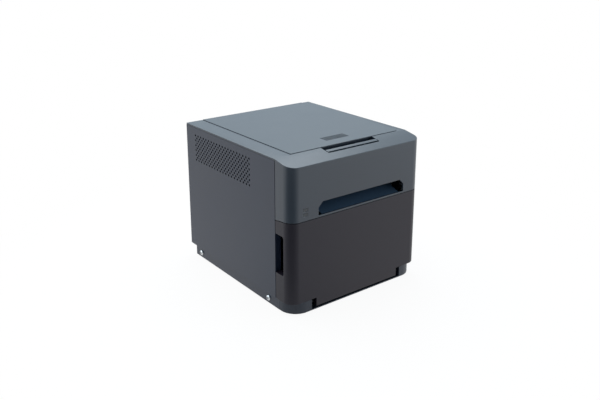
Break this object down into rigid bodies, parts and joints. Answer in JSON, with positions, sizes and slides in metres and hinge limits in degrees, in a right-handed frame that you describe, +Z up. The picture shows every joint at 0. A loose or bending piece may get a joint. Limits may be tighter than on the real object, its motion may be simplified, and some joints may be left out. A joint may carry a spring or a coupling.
{
  "type": "compact photo printer",
  "caption": "Box-shaped roll-fed photo printer with a rear-hinged lid, a front print exit, a drop-down media door and its print engine inside.",
  "frame": {"origin": "centre of the footprint on the table", "axes": "+X to the right seen from the front, the front faces -Y, +Z up"},
  "size_m": [0.228, 0.256, 0.21],
  "materials": {
    "casing_grey": "fine satin texture",
    "panel_paint": "fine textured paint",
    "door_brown": "fine satin texture",
    "black_plastic": "satin",
    "gloss_black": "gloss",
    "rubber": "matt",
    "zinc_steel": "zinc plated",
    "bright_steel": "ground",
    "screw_steel": "bright plated",
    "aluminium": "extruded",
    "ceramic": "glazed edge",
    "paper": "coated",
    "cardboard": "wound",
    "ribbon_film": "gloss film",
    "white_plastic": "natural acetal",
    "brass": "machined",
    "board_green": "solder mask",
    "component_black": "moulded"
  },
  "bodies": {
    "casing": {"base_pan": "panel_paint", "base_bezel": "casing_grey", "rubber_feet": "rubber", "side_screws": "screw_steel", "left_side_panel": "panel_paint", "right_side_panel": "panel_paint", "rear_panel": "panel_paint", "rear_screws": "screw_steel", "upper_front_cover": "casing_grey", "exit_chute": "black_plastic", "exit_hood": "black_plastic", "status_lenses": "gloss_black", "lid_hinge_pins": "bright_steel", "door_hinge_pins": "bright_steel", "power_inlet": "black_plastic", "usb_port": "zinc_steel", "switch_frame": "black_plastic", "fan_frame": "black_plastic", "left_frame_plate": "zinc_steel", "right_frame_plate": "zinc_steel", "tie_rods": "bright_steel", "media_deck": "black_plastic", "roll_cradles": "black_plastic", "ribbon_motor": "aluminium", "ribbon_motor_plate": "zinc_steel", "idler_post": "bright_steel", "feed_motor": "component_black", "cutter_rod": "bright_steel", "fixed_blade": "bright_steel", "power_supply": "zinc_steel", "main_board": "board_green", "board_parts": "component_black", "board_standoffs": "brass"},
    "lid": {"top_cover": "casing_grey", "head_bracket": "zinc_steel", "thermal_head": "ceramic", "head_heat_sink": "aluminium", "head_springs": "bright_steel"},
    "latch": {"latch_lever": "casing_grey"},
    "door": {"front_door": "door_brown"},
    "roll": {"paper_roll": "paper", "roll_core": "cardboard", "roll_flanges": "black_plastic"},
    "supply": {"supply_core": "white_plastic", "supply_ribbon": "ribbon_film"},
    "takeup": {"takeup_core": "white_plastic", "takeup_ribbon": "ribbon_film", "takeup_gear": "white_plastic"},
    "ribbon_drive": {"ribbon_pinion": "brass"},
    "platen": {"platen_roller": "rubber"},
    "feed": {"feed_roller": "bright_steel", "feed_gear": "white_plastic"},
    "pinch": {"pinch_roller": "rubber"},
    "idler": {"idler_gear": "white_plastic"},
    "motor_shaft": {"motor_pinion": "brass"},
    "cutter": {"cutter_carriage": "black_plastic"},
    "disc": {"cutter_disc": "bright_steel"},
    "fan": {"fan_rotor": "black_plastic"},
    "rocker": {"power_rocker": "gloss_black"}
  },
  "joints": [
    {"name": "lid_hinge", "type": "hinge", "parent": "casing", "child": "lid", "pos_m": [0.0065, 0.1235, 0.2055], "axis": [-1, 0, 0], "range_deg": [0, 100]},
    {"name": "latch_pivot", "type": "hinge", "parent": "casing", "child": "latch", "pos_m": [0.0065, -0.1046, 0.201], "axis": [1, 0, 0], "range_deg": [0, 12], "stiffness_Nm_per_rad": 0.3, "springref_deg": -5.73},
    {"name": "door_hinge", "type": "hinge", "parent": "casing", "child": "door", "pos_m": [0, -0.122, 0.012], "axis": [1, 0, 0], "range_deg": [0, 90]},
    {"name": "roll_spin", "type": "hinge", "parent": "casing", "child": "roll", "pos_m": [0.0065, -0.052, 0.066], "axis": [1, 0, 0], "continuous": true},
    {"name": "supply_spin", "type": "hinge", "parent": "casing", "child": "supply", "pos_m": [0.0065, 0.03, 0.166], "axis": [1, 0, 0], "continuous": true},
    {"name": "takeup_spin", "type": "hinge", "parent": "casing", "child": "takeup", "pos_m": [0.0065, -0.072, 0.178], "axis": [1, 0, 0], "continuous": true},
    {"name": "ribbon_pinion_spin", "type": "hinge", "parent": "casing", "child": "ribbon_drive", "pos_m": [0.082, -0.04753, 0.16659], "axis": [1, 0, 0], "continuous": true},
    {"name": "platen_spin", "type": "hinge", "parent": "casing", "child": "platen", "pos_m": [0.0065, -0.024, 0.136], "axis": [1, 0, 0], "continuous": true},
    {"name": "feed_spin", "type": "hinge", "parent": "casing", "child": "feed", "pos_m": [0.0065, -0.058, 0.137], "axis": [1, 0, 0], "continuous": true},
    {"name": "pinch_spin", "type": "hinge", "parent": "casing", "child": "pinch", "pos_m": [0.0065, -0.058, 0.1483], "axis": [1, 0, 0], "continuous": true},
    {"name": "idler_spin", "type": "hinge", "parent": "casing", "child": "idler", "pos_m": [-0.0695, -0.01619, 0.12501], "axis": [1, 0, 0], "continuous": true},
    {"name": "motor_spin", "type": "hinge", "parent": "casing", "child": "motor_shaft", "pos_m": [-0.0695, 0.01986, 0.11467], "axis": [1, 0, 0], "continuous": true},
    {"name": "cutter_slide", "type": "slide", "parent": "casing", "child": "cutter", "axis": [1, 0, 0], "range_m": [0, 0.125]},
    {"name": "disc_spin", "type": "hinge", "parent": "cutter", "child": "disc", "pos_m": [-0.056, -0.1013, 0.1475], "axis": [0, 1, 0], "continuous": true},
    {"name": "fan_spin", "type": "hinge", "parent": "casing", "child": "fan", "pos_m": [0.0065, 0.12, 0.15], "axis": [0, 1, 0], "continuous": true},
    {"name": "rocker_tilt", "type": "hinge", "parent": "casing", "child": "rocker", "pos_m": [-0.0795, 0.1208, 0.082], "axis": [-1, 0, 0], "range_deg": [0, 20]}
  ],
  "couplings": [
    {"joint": "idler_spin", "follows": "feed_spin", "ratio": -0.61111},
    {"joint": "motor_spin", "follows": "feed_spin", "ratio": 1.5714},
    {"joint": "pinch_spin", "follows": "feed_spin", "ratio": -1.2},
    {"joint": "ribbon_pinion_spin", "follows": "takeup_spin", "ratio": -1.5714},
    {"joint": "disc_spin", "follows": "cutter_slide", "rad_per_m": 142.86}
  ]
}
